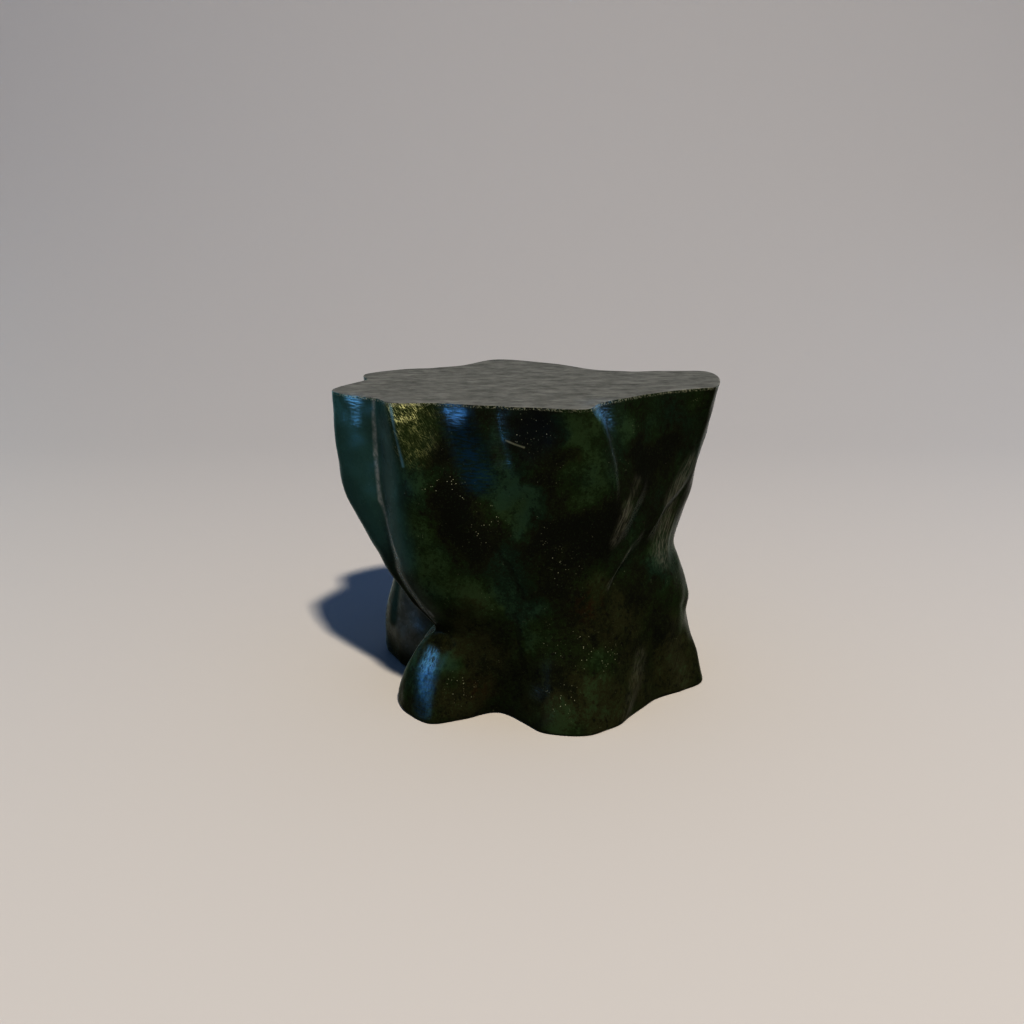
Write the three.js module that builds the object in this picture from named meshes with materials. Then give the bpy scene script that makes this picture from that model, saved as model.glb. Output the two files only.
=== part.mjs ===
import * as THREE from "three";

// A palm-sized block of dark green jade, sawn flat at both ends, with its sides ground and
// polished into the flare, waist and root-like toes of a small tree stump.
// Millimetres. The ground is z = 0, the front is -Y, and the middle of the block is at x = y = 0.

const HEIGHT = 57;
const FOOT_ROUNDING = 0.6;
const RIM_ROUNDING = 0.4;
const COLUMNS_PER_RIB = 5;
const CENTRE = [0.01, -0.28];

// Each rib is a line up the side: height, x, y. They go counterclockwise as seen from above,
// from the toe at the right, round the back and the left side, and along the front.
const RIBS = {
  rightToe: [
    [0, 33, -8.3],
    [5.7, 31.7, -7],
    [8.8, 30.7, -6],
    [14, 29.8, -5],
    [15.7, 30.2, -5],
    [19, 29.5, -4.3],
    [22.8, 28.2, -4],
    [26.8, 26.8, -4],
    [32, 27.9, -3.8],
    [39, 29.7, -3.5],
    [47, 31.3, -4],
    [57, 32.4, -7.3],
  ],
  rightEdge: [
    [0, 31.2, 1.5],
    [8, 29.6, 1],
    [15.5, 29.4, 0.5],
    [19, 28.9, 0.3],
    [22.8, 27.9, 0],
    [26.8, 27.1, 0],
    [29, 27.6, 0],
    [32.4, 28.8, 0],
    [36, 30.1, 0.5],
    [41.7, 31.4, 2],
    [47, 33, 3.5],
    [52.6, 34.4, 5],
    [57, 35.5, 6],
  ],
  backRight: [
    [0, 30.5, 12],
    [8, 29, 10.5],
    [20, 27.3, 8],
    [28, 26, 7],
    [40, 29, 8],
    [57, 34, 12.4],
  ],
  backRightRoot: [
    [0, 25, 20],
    [8, 24, 17.5],
    [20, 22, 14],
    [30, 21.8, 12],
    [44, 24.5, 12],
    [57, 27, 12.8],
  ],
  backRightHollow: [
    [0, 13, 17],
    [10, 12.5, 15],
    [24, 12, 13.5],
    [40, 13, 14],
    [57, 14, 13.6],
  ],
  backShoulder: [
    [0, 5, 25],
    [10, 4.5, 23],
    [24, 4.5, 20.5],
    [40, 5, 21],
    [57, 5, 23.2],
  ],
  backRoot: [
    [0, -5, 27],
    [8, -5, 25.5],
    [20, -5.5, 23.5],
    [30, -6, 24.3],
    [44, -6.8, 27],
    [57, -7, 29.8],
  ],
  backLeftHollow: [
    [0, -14, 20.5],
    [10, -13.5, 18.5],
    [24, -12.5, 18],
    [40, -13.5, 20],
    [57, -15, 19.8],
  ],
  backLeftRoot: [
    [0, -24, 18],
    [10, -23.5, 16.5],
    [20, -21.5, 14.5],
    [30, -22, 14],
    [44, -24, 14.5],
    [57, -26, 14.8],
  ],
  leftRoot: [
    [0, -29.8, 9],
    [4.6, -29.7, 6.5],
    [9.4, -29.5, 6],
    [17.5, -27.3, 5],
    [24, -26.6, 5.5],
    [32, -28.3, 6.5],
    [46, -31, 8],
    [57, -32.2, 8.5],
  ],
  leftRootFront: [
    [0, -26.5, 0.5],
    [8, -27, 0.5],
    [14, -26, 0.5],
    [18, -25, 0],
    [24, -25.5, 0],
    [30, -28, 0.5],
    [38, -30.3, 1.5],
    [46, -31.3, 3],
    [57, -31.8, 4.5],
  ],
  leftHollow: [
    [0, -22.3, -7],
    [8, -20, -7.5],
    [14, -18, -8.5],
    [18, -19.5, -8],
    [24, -23.5, -6],
    [30, -27.5, -4.5],
    [38, -31, -2.5],
    [46, -31.5, 0],
    [57, -31, 2],
  ],
  leftShoulder: [
    [0, -25, -15.4],
    [2.5, -24.7, -15.8],
    [6, -23.5, -16],
    [10, -21.6, -16.8],
    [14.5, -18.7, -18.2],
    [16, -17.4, -19.6],
    [17.8, -19.4, -18.3],
    [20, -21.8, -17],
    [24, -25.5, -14.5],
    [29, -28.4, -14],
    [33, -30.8, -13],
    [39, -33.8, -12],
    [46.6, -34.8, -12],
    [57, -35.4, -11],
  ],
  leftFlute: [
    [0, -24.5, -18.6],
    [8, -22.7, -18.6],
    [13, -19.9, -19.2],
    [16, -17.3, -20.4],
    [20, -20.4, -19],
    [27.4, -24.7, -18.5],
    [38, -26.4, -19],
    [46, -26.6, -19],
    [57, -26.4, -19.6],
  ],
  leftArris: [
    [0, -22.8, -21.8],
    [8, -21.5, -21],
    [13, -18.7, -20.9],
    [16.1, -16.6, -21],
    [19, -18, -22],
    [24.2, -20.4, -22.8],
    [33.4, -21.8, -24],
    [40, -21.5, -24.4],
    [45.7, -21.5, -23.8],
    [49.1, -22, -23.5],
    [53.2, -22.9, -23.1],
    [57, -23.7, -22.8],
  ],
  leftFoot: [
    [0, -18.4, -25.8],
    [7.7, -16.9, -24.3],
    [13, -15.1, -23.2],
    [15.8, -14, -23],
    [19, -14.4, -24],
    [24, -14.8, -25.5],
    [32, -15.3, -25.9],
    [40, -16, -25.6],
    [48, -17, -24.6],
    [57, -17.5, -23.9],
  ],
  belly: [
    [0, -12.5, -24.1],
    [8, -10.6, -23.6],
    [15, -9.3, -24],
    [22, -9, -26.2],
    [30, -9.8, -26.9],
    [40, -10.5, -26.5],
    [48, -12.3, -25.6],
    [57, -14.2, -24.6],
  ],
  frontNotch: [
    [0, -6.4, -21.4],
    [5.8, -4, -23.3],
    [10.3, -2.3, -24.9],
    [16.4, -2.5, -25.9],
    [24, -3.9, -26.3],
    [32, -4.6, -27],
    [40, -5, -26.6],
    [49, -8.3, -25.6],
    [57, -11.3, -24.9],
  ],
  frontToe: [
    [0, 2, -29.2],
    [6.5, 2.9, -28.4],
    [13, 4.2, -27.6],
    [24, 4.8, -27.3],
    [32, 3, -27.7],
    [41, 1.5, -28],
    [48, 1, -28.2],
    [57, 0.5, -28.4],
  ],
  frontCorner: [
    [0, 9.2, -30.2],
    [5, 9, -29.2],
    [12, 8.9, -27.6],
    [20, 9.2, -26.3],
    [29, 10.1, -26],
    [36, 11.7, -26.5],
    [43, 12.5, -27],
    [48.4, 12, -27.5],
    [53.4, 10.2, -28],
    [57, 7.9, -29.1],
  ],
  rightFlute: [
    [0, 13, -27.9],
    [10, 12.2, -26.4],
    [20, 11.5, -25.3],
    [28, 12, -24.8],
    [35.5, 14, -24],
    [44, 14.4, -24],
    [50.2, 13, -24.3],
    [57, 10.8, -23.4],
  ],
  rightPanel: [
    [0, 15.2, -25.7],
    [9, 14.7, -24.6],
    [17, 14.2, -24],
    [25.5, 12.7, -24],
    [29, 14.8, -22.3],
    [33, 17.6, -19.6],
    [39.6, 20.6, -16.5],
    [47, 22.2, -13.6],
    [57, 22.8, -12.2],
  ],
  rightCrease: [
    [0, 24, -15.4],
    [9.6, 20.9, -17],
    [17.2, 18.6, -19],
    [23.4, 14.9, -21.3],
    [26, 14.3, -21.2],
    [29, 17.2, -18],
    [32.6, 20.8, -14.3],
    [37.4, 25, -9.5],
    [42, 27.4, -7.5],
    [49, 28.3, -8.2],
    [57, 28.5, -9],
  ],
  knee: [
    [0, 28.6, -12.4],
    [9, 26.5, -12.5],
    [16, 26.2, -13],
    [23.4, 24, -13],
    [29, 23.6, -10.5],
    [33, 25, -8.5],
    [39, 28, -6],
    [49, 30, -6.5],
    [57, 30.5, -8.1],
  ],
};

// Each fold is a ridge or groove that runs over the side: x, y, z, how far it stands out
// (a groove is negative) and how wide it is. A low crest number gives a sharp fold.
const FOLDS = [
  {
    name: "left arris",
    crest: 1.3,
    path: [
      [-23.8, -22.9, 57, 0.7, 1.5],
      [-22.7, -23.3, 53.3, 1, 1.6],
      [-21.8, -23.5, 49.1, 0.9, 1.8],
      [-21.4, -23.6, 45.7, 0.6, 2.2],
      [-21.4, -23.7, 42, 0.3, 2.6],
      [-21.6, -23.4, 37, 0, 3],
    ],
  },
  {
    name: "left valley",
    crest: 2,
    path: [
      [-27.4, -18.6, 57, -0.3, 1.8],
      [-27.3, -18.7, 51.6, -0.4, 1.9],
      [-27.2, -18.6, 45.9, -0.5, 2],
      [-26.6, -18.8, 38, -0.5, 2],
      [-25.2, -19, 30.4, -0.4, 1.8],
      [-23, -17.4, 22.4, 0, 1.8],
    ],
  },
  {
    name: "scratched facet",
    crest: 2,
    path: [
      [-19, -24, 57, -0.1, 3],
      [-18.4, -24.3, 52, -0.3, 3],
      [-17, -25, 47, -0.2, 3.2],
      [-16, -25.6, 43, 0, 3.2],
    ],
  },
  {
    name: "first flute",
    crest: 1.5,
    path: [
      [-15.4, -24.5, 57, -0.8, 2.2],
      [-14.7, -24.9, 53.4, -1, 2.5],
      [-13.6, -25.3, 49.6, -0.9, 2.9],
      [-12.2, -26, 45.6, -0.5, 3.1],
      [-9.5, -26.6, 41, 0, 3.2],
    ],
  },
  {
    name: "first flute lip",
    crest: 2,
    path: [
      [-10.4, -25.6, 57, 0.3, 1.8],
      [-9.2, -25.8, 53, 0.5, 2],
      [-7, -26.2, 49, 0.4, 2.2],
      [-4, -26.8, 44, 0, 2.4],
    ],
  },
  {
    name: "second flute",
    crest: 1.6,
    path: [
      [-6.3, -26.4, 57, -0.4, 1],
      [-6, -26.5, 53.1, -0.5, 1.1],
      [-5, -26.6, 49, -0.4, 1.4],
      [-3.4, -26.8, 44.9, 0, 1.6],
    ],
  },
  {
    name: "front hollow",
    crest: 2,
    path: [
      [0.3, -28.3, 57, -0.5, 2.8],
      [0.2, -28.2, 53.9, -0.6, 3],
      [0.6, -28.2, 51, -0.3, 3],
      [0.8, -28, 47, 0, 3],
    ],
  },
  {
    name: "front corner",
    crest: 1.6,
    path: [
      [7.9, -29.2, 57, 0.1, 1.2],
      [9, -28.7, 55.1, 0.15, 1.4],
      [10.2, -28.2, 52.9, 0.2, 1.6],
      [10.9, -28, 50.7, 0.2, 1.8],
      [11.6, -27.8, 48.4, 0.2, 2],
      [12.3, -27, 44, 0, 2.4],
    ],
  },
  {
    name: "right flute",
    crest: 2,
    path: [
      [12.6, -21.4, 57, -0.1, 2.6],
      [13, -23, 53, -0.15, 2.6],
      [13.4, -24.4, 49.5, -0.2, 2.4],
      [14, -25, 45.5, -0.2, 2],
      [14.6, -24.3, 41, 0, 2],
    ],
  },
  {
    name: "right flute lip",
    crest: 2,
    path: [
      [16.6, -18.6, 57, 0.1, 2.2],
      [16, -20.5, 53, 0.15, 2.2],
      [15.8, -22.4, 49, 0.15, 2.2],
      [16.2, -23, 44, 0, 2.4],
    ],
  },
  {
    name: "panel groove",
    crest: 2,
    path: [
      [19.6, -15, 57, -0.15, 1.6],
      [19.8, -15.8, 52, -0.2, 1.8],
      [19.4, -17, 47, -0.1, 2],
      [18.8, -18.4, 43, 0, 2],
    ],
  },
  {
    name: "first fold",
    crest: 1.5,
    path: [
      [19.6, -17.6, 44, 0, 1.6],
      [18.4, -19.3, 41.9, 0.4, 1.6],
      [17.1, -21, 40, 0.6, 1.6],
      [15.6, -22.6, 37.1, 0.7, 1.6],
      [14, -24.1, 34.4, 0.6, 1.6],
      [12.4, -25.2, 32, 0, 1.6],
    ],
  },
  {
    name: "first fold groove",
    crest: 1.5,
    path: [
      [21.2, -15.9, 42, 0, 1.8],
      [20, -17.2, 39.6, -0.4, 1.9],
      [18.6, -18.9, 37.1, -0.6, 1.9],
      [16.9, -20.6, 34.4, -0.6, 1.8],
      [15.7, -21.9, 31.6, -0.3, 1.7],
      [14.6, -22.8, 29, 0, 1.6],
    ],
  },
  {
    name: "waist crease",
    crest: 1.2,
    path: [
      [11.9, -24.4, 23, 0, 1.1],
      [13.3, -23, 24.7, -0.3, 1.1],
      [15, -20.4, 26.1, -0.4, 1.2],
      [16.2, -18.9, 27.1, -0.3, 1.3],
      [16.9, -18.6, 29.2, -0.2, 1.4],
      [17.3, -19.3, 32, -0.1, 1.4],
      [17.8, -19.4, 34.5, 0, 1.4],
    ],
  },
  {
    name: "second fold",
    crest: 1.5,
    path: [
      [29.2, -5.6, 44, 0, 1.6],
      [28.4, -6.2, 41.2, 0.5, 1.6],
      [26.8, -7.4, 39, 0.7, 1.6],
      [24.7, -10.2, 37.4, 0.8, 1.6],
      [22.7, -12.7, 35.6, 0.8, 1.6],
      [20.6, -14.9, 32.6, 0.6, 1.6],
      [19.4, -15.8, 29.4, 0, 1.6],
    ],
  },
  {
    name: "second fold groove",
    crest: 1.5,
    path: [
      [28, -6, 39.6, 0, 1.8],
      [26.6, -7, 36.8, -0.4, 1.9],
      [24.4, -9.7, 34.4, -0.6, 1.9],
      [22.7, -11.7, 31.5, -0.4, 1.9],
      [21.8, -13.2, 28, -0.2, 1.8],
      [21.2, -14.4, 25, 0, 1.8],
    ],
  },
  {
    name: "waist fold",
    crest: 1.6,
    path: [
      [28.6, -4.6, 38.4, 0, 1.5],
      [27.2, -6.2, 36, 0.4, 1.5],
      [25.6, -8, 32.3, 0.6, 1.5],
      [24.6, -9.5, 28.1, 0.4, 1.5],
      [24.7, -11.1, 24.7, 0, 1.5],
    ],
  },
  {
    name: "knee groove",
    crest: 1.5,
    path: [
      [29.6, -5, 15.6, -0.5, 1.5],
      [28.7, -9.3, 16, -0.5, 1.6],
      [25.9, -13.1, 17.1, -0.3, 1.8],
      [22.8, -15.8, 17.4, -0.2, 1.8],
      [20.6, -17.4, 17.1, 0, 1.8],
    ],
  },
  {
    name: "front toe ridge",
    crest: 1.8,
    path: [
      [15, -26.3, 0, 0.4, 1.8],
      [17.3, -22.9, 4.6, 0.6, 1.8],
      [18.9, -19.9, 7.3, 0.5, 1.9],
      [19.6, -18.5, 9.6, 0.3, 2],
      [19.3, -18.5, 13.6, 0.1, 2],
      [18.8, -19, 17, 0, 2],
    ],
  },
  {
    name: "hollow between the toes",
    crest: 2,
    path: [
      [22.4, -17, 0, -0.2, 2.2],
      [22.6, -16.4, 3, -0.4, 2.4],
      [22.5, -15.9, 6.1, -0.4, 2.6],
      [21.8, -16.3, 11.3, -0.2, 2.6],
      [21, -17, 15, 0, 2.4],
    ],
  },
  {
    name: "front toe corner",
    crest: 2,
    path: [
      [1.2, -28.6, 0, 0.2, 2],
      [1.7, -27.8, 5, 0.3, 2],
      [2.2, -27.2, 10, 0.2, 2],
      [2.6, -27, 15, 0, 2],
    ],
  },
  {
    name: "crease under the belly",
    crest: 1.3,
    path: [
      [-19.6, -17.4, 16.4, 0, 1],
      [-17.7, -18.8, 15.4, -0.2, 0.9],
      [-16.2, -21.2, 15.9, -0.25, 0.8],
      [-13.9, -22.2, 15.9, -0.12, 0.8],
      [-11.1, -23.6, 16.3, 0, 1],
    ],
  },
  {
    name: "right side fold",
    crest: 1.6,
    path: [
      [33.5, 9, 50, 0, 2],
      [31.5, 7, 42, 0.5, 2],
      [29.5, 4.5, 34, 0.7, 2],
      [28, 2.5, 28, 0.4, 2],
      [27.5, 1, 24, 0, 2],
    ],
  },
  {
    name: "right side groove",
    crest: 1.6,
    path: [
      [33.5, 12, 46, 0, 2],
      [30.5, 9.5, 38, -0.7, 2],
      [28.5, 7.2, 31, -0.8, 2],
      [27.2, 5, 26, -0.4, 2],
      [27, 3, 22, 0, 2],
    ],
  },
  {
    name: "back right flute",
    crest: 2,
    path: [
      [20.5, 13, 57, -0.8, 2.4],
      [19.5, 12.5, 50, -1, 2.6],
      [18, 12.5, 42, -0.7, 2.8],
      [16.5, 13, 34, 0, 3],
    ],
  },
  {
    name: "back flute",
    crest: 2,
    path: [
      [-1, 25.2, 57, -0.6, 2],
      [-0.8, 23.5, 50, -0.8, 2.2],
      [-0.6, 22, 42, -0.7, 2.4],
      [-0.5, 21.5, 34, 0, 2.6],
    ],
  },
  {
    name: "back toe groove",
    crest: 2,
    path: [
      [-0.5, 26, 0, -0.8, 2.4],
      [-0.5, 24, 8, -0.9, 2.4],
      [-0.8, 22, 16, -0.6, 2.4],
      [-1, 21.6, 24, 0, 2.4],
    ],
  },
  {
    name: "back left flute",
    crest: 2,
    path: [
      [-20.5, 16.5, 57, -0.7, 2],
      [-19.5, 16, 50, -0.8, 2.2],
      [-18, 15.5, 42, -0.5, 2.4],
      [-17, 15.5, 34, 0, 2.6],
    ],
  },
  {
    name: "back left fold",
    crest: 1.6,
    path: [
      [-24, 15, 40, 0, 1.8],
      [-22, 14.5, 34, 0.6, 1.8],
      [-19.5, 15, 28, 0.7, 1.8],
      [-16.5, 16, 23, 0.4, 1.8],
      [-14, 17.5, 19, 0, 1.8],
    ],
  },
  {
    name: "back left groove",
    crest: 1.6,
    path: [
      [-21, 14.5, 30, 0, 1.8],
      [-19, 14.8, 25.5, -0.7, 1.8],
      [-16, 16.2, 20.5, -0.7, 1.8],
      [-13.5, 17.8, 16, 0, 1.8],
    ],
  },
];

// Rows of points up the side, closer together at the two edges and where the belly meets the foot.
const FOOT_ROWS = [0, 0.15, FOOT_ROUNDING, 2.9, 5.2, 7.5, 9.8];
const BELLY_ROWS = [12, 13, 14, 15, 16, 17, 18, 19, 20];
const UPPER_ROWS = [22.2, 24.4, 26.6, 28.8, 31, 33.2, 35.4, 37.6, 39.8, 42, 44.1, 46.2, 48.3];
const RIM_ROWS = [50.4, 52.5, 54.6, HEIGHT - RIM_ROUNDING, HEIGHT - 0.12, HEIGHT];

const stump = new THREE.Group();
const heights = [...FOOT_ROWS, ...BELLY_ROWS, ...UPPER_ROWS, ...RIM_ROWS];
stump.add(solid("jade_stump", sideRows(heights)));

// The value of a smooth line through knots [place, x, y] at one place. Each slope is the mean
// of the slopes on its two sides, weighted towards the nearer knot.
function smoothLine(knots, place) {
  let k = 0;
  while (k < knots.length - 2 && place > knots[k + 1][0]) {
    k++;
  }
  const step = knots[k + 1][0] - knots[k][0];
  const t = (place - knots[k][0]) / step;
  const startSlope = knotSlope(knots, k);
  const endSlope = knotSlope(knots, k + 1);
  return [1, 2].map((axis) => {
    const a = knots[k][axis];
    const b = knots[k + 1][axis];
    const value = a * (1 + 2 * t) * (1 - t) ** 2 + b * t * t * (3 - 2 * t);
    const bend = startSlope[axis] * t * (1 - t) ** 2 - endSlope[axis] * t * t * (1 - t);
    return value + bend * step;
  });
}

function knotSlope(knots, k) {
  const last = knots.length - 1;
  const before = Math.max(k - 1, 0);
  const after = Math.min(k + 1, last);
  const chord = (i, j, axis) => (knots[j][axis] - knots[i][axis]) / (knots[j][0] - knots[i][0]);
  return [0, 1, 2].map((axis) => {
    if (k === 0 || k === last) {
      return chord(before, after, axis);
    }
    const stepBefore = knots[k][0] - knots[before][0];
    const stepAfter = knots[after][0] - knots[k][0];
    const weighted = chord(before, k, axis) * stepAfter + chord(k, after, axis) * stepBefore;
    return weighted / (stepBefore + stepAfter);
  });
}

// A closed smooth line through the ribs at one height: a centripetal Catmull-Rom curve.
function sideRow(height) {
  const corners = Object.values(RIBS).map((knots) => smoothLine(knots, height));
  const count = corners.length;
  const row = [];
  for (let rib = 0; rib < count; rib++) {
    const [p0, p1, p2, p3] = [-1, 0, 1, 2].map((k) => corners[(rib + k + count) % count]);
    const step0 = Math.sqrt(Math.hypot(p1[0] - p0[0], p1[1] - p0[1]));
    const step1 = Math.sqrt(Math.hypot(p2[0] - p1[0], p2[1] - p1[1]));
    const step2 = Math.sqrt(Math.hypot(p3[0] - p2[0], p3[1] - p2[1]));
    for (let column = 0; column < COLUMNS_PER_RIB; column++) {
      const t = column / COLUMNS_PER_RIB;
      const [x, y] = [0, 1].map((axis) => {
        const chord = (p2[axis] - p1[axis]) / step1;
        const before = (p1[axis] - p0[axis]) / step0;
        const after = (p3[axis] - p2[axis]) / step2;
        const wideBefore = (p2[axis] - p0[axis]) / (step0 + step1);
        const wideAfter = (p3[axis] - p1[axis]) / (step1 + step2);
        const startSlope = step1 * (before - wideBefore + chord);
        const endSlope = step1 * (chord - wideAfter + after);
        const value = p1[axis] * (1 + 2 * t) * (1 - t) ** 2 + p2[axis] * t * t * (3 - 2 * t);
        return value + startSlope * t * (1 - t) ** 2 - endSlope * t * t * (1 - t);
      });
      row.push(new THREE.Vector3(x, y, height));
    }
  }
  return row;
}

// How far one fold moves a point of the side: its depth at the nearest place on its path,
// fading with the distance to that place.
function foldAmount(point, { crest, path }) {
  let nearest = Infinity;
  let amount = 0;
  for (let k = 0; k < path.length - 1; k++) {
    const start = new THREE.Vector3(...path[k].slice(0, 3));
    const end = new THREE.Vector3(...path[k + 1].slice(0, 3));
    const along = end.sub(start);
    const raw = point.clone().sub(start).dot(along) / along.lengthSq();
    const share = THREE.MathUtils.clamp(raw, 0, 1);
    const distance = point.distanceTo(start.addScaledVector(along, share));
    if (distance < nearest) {
      const depth = THREE.MathUtils.lerp(path[k][3], path[k + 1][3], share);
      const width = THREE.MathUtils.lerp(path[k][4], path[k + 1][4], share);
      nearest = distance;
      amount = depth * Math.exp(-((distance / width) ** crest));
    }
  }
  return amount;
}

// How far a quarter-round edge of the given radius pulls in at a distance from the face.
function rounding(radius, distance) {
  const into = THREE.MathUtils.clamp(1 - distance / radius, 0, 1);
  return radius * (1 - Math.sqrt(1 - into * into));
}

// The rows of points round the side, moved in or out along the level normal by the folds and
// by the rounding of the two edges.
function sideRows(heights) {
  return heights.map((height) => {
    const row = sideRow(height);
    return row.map((point, column) => {
      const before = row[(column + row.length - 1) % row.length];
      const after = row[(column + 1) % row.length];
      const outward = new THREE.Vector3(after.y - before.y, before.x - after.x, 0).normalize();
      const folds = FOLDS.reduce((sum, fold) => sum + foldAmount(point, fold), 0);
      const edges = rounding(FOOT_ROUNDING, height) + rounding(RIM_ROUNDING, HEIGHT - height);
      const moved = point.clone().addScaledVector(outward, folds - edges);
      return moved.sub(new THREE.Vector3(...CENTRE, 0));
    });
  });
}

// A closed solid from rows of points, each one a loop, with a flat face over the first and last.
function solid(name, rows) {
  const columns = rows[0].length;
  const indices = [];
  for (let row = 0; row < rows.length - 1; row++) {
    for (let column = 0; column < columns; column++) {
      const a = row * columns + column;
      const b = row * columns + ((column + 1) % columns);
      indices.push(a, b, b + columns, a, b + columns, a + columns);
    }
  }
  const top = (rows.length - 1) * columns;
  for (const [a, b, c] of flatFace(rows[0])) {
    indices.push(a, c, b);
  }
  for (const [a, b, c] of flatFace(rows[rows.length - 1])) {
    indices.push(top + a, top + b, top + c);
  }
  const geometry = new THREE.BufferGeometry().setFromPoints(rows.flat());
  geometry.setIndex(indices);
  geometry.computeVertexNormals();
  const mesh = new THREE.Mesh(geometry, new THREE.MeshStandardMaterial({ color: 0x24402c }));
  mesh.name = name;
  return mesh;
}

function flatFace(loop) {
  const outline = loop.map((point) => new THREE.Vector2(point.x, point.y));
  return THREE.ShapeUtils.triangulateShape(outline, []);
}

export default stump;
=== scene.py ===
"""A polished jade carving in the form of a tree stump, in metres, with its front to -Y."""
import math

import bpy
import numpy as np
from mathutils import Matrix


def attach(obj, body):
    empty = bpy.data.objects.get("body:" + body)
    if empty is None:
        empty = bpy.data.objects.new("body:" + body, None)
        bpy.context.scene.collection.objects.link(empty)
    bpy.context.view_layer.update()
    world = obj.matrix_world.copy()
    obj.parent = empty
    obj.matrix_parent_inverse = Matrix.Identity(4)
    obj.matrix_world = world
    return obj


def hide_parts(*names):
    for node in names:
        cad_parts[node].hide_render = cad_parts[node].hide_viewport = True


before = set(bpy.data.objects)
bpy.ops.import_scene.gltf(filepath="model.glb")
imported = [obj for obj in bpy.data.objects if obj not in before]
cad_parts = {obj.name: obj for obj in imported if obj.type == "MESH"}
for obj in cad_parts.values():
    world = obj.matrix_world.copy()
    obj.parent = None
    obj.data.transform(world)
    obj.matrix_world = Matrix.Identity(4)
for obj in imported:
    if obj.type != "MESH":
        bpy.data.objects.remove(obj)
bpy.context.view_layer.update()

# The camera stands where the photograph was taken from: close in front of the block and
# looking down on it at 16 degrees.
VIEWPOINT = (-0.00385, -0.1892, 0.086)
DOWNWARD_TILT = 16
FOCAL_PIXELS = 1026
FRAME_PIXELS = 1024
SENSOR_WIDTH = 36

camera_lens = bpy.data.cameras.new("camera")
camera_lens.sensor_width = SENSOR_WIDTH
camera_lens.lens = SENSOR_WIDTH * FOCAL_PIXELS / FRAME_PIXELS
camera_lens.clip_start = 0.01
camera = bpy.data.objects.new("camera", camera_lens)
camera.location = VIEWPOINT
camera.rotation_euler = (math.radians(90 - DOWNWARD_TILT), 0, 0)
bpy.context.scene.collection.objects.link(camera)
bpy.context.scene.camera = camera

# The block is one piece of dark green nephrite jade. Its two ends are sawn flat, and its side
# is ground by hand into the flare, waist and toes of a tree stump, then polished. All sizes of
# the block are in millimetres until its mesh is made. The ribs and folds are drawn round a
# middle of their own, which is then moved to the origin.
MILLIMETRES_PER_METRE = 1000
HEIGHT = 57
FOOT_ROUNDING = 0.6
RIM_ROUNDING = 0.25
MIDDLE = (0.01, -0.28)

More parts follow.
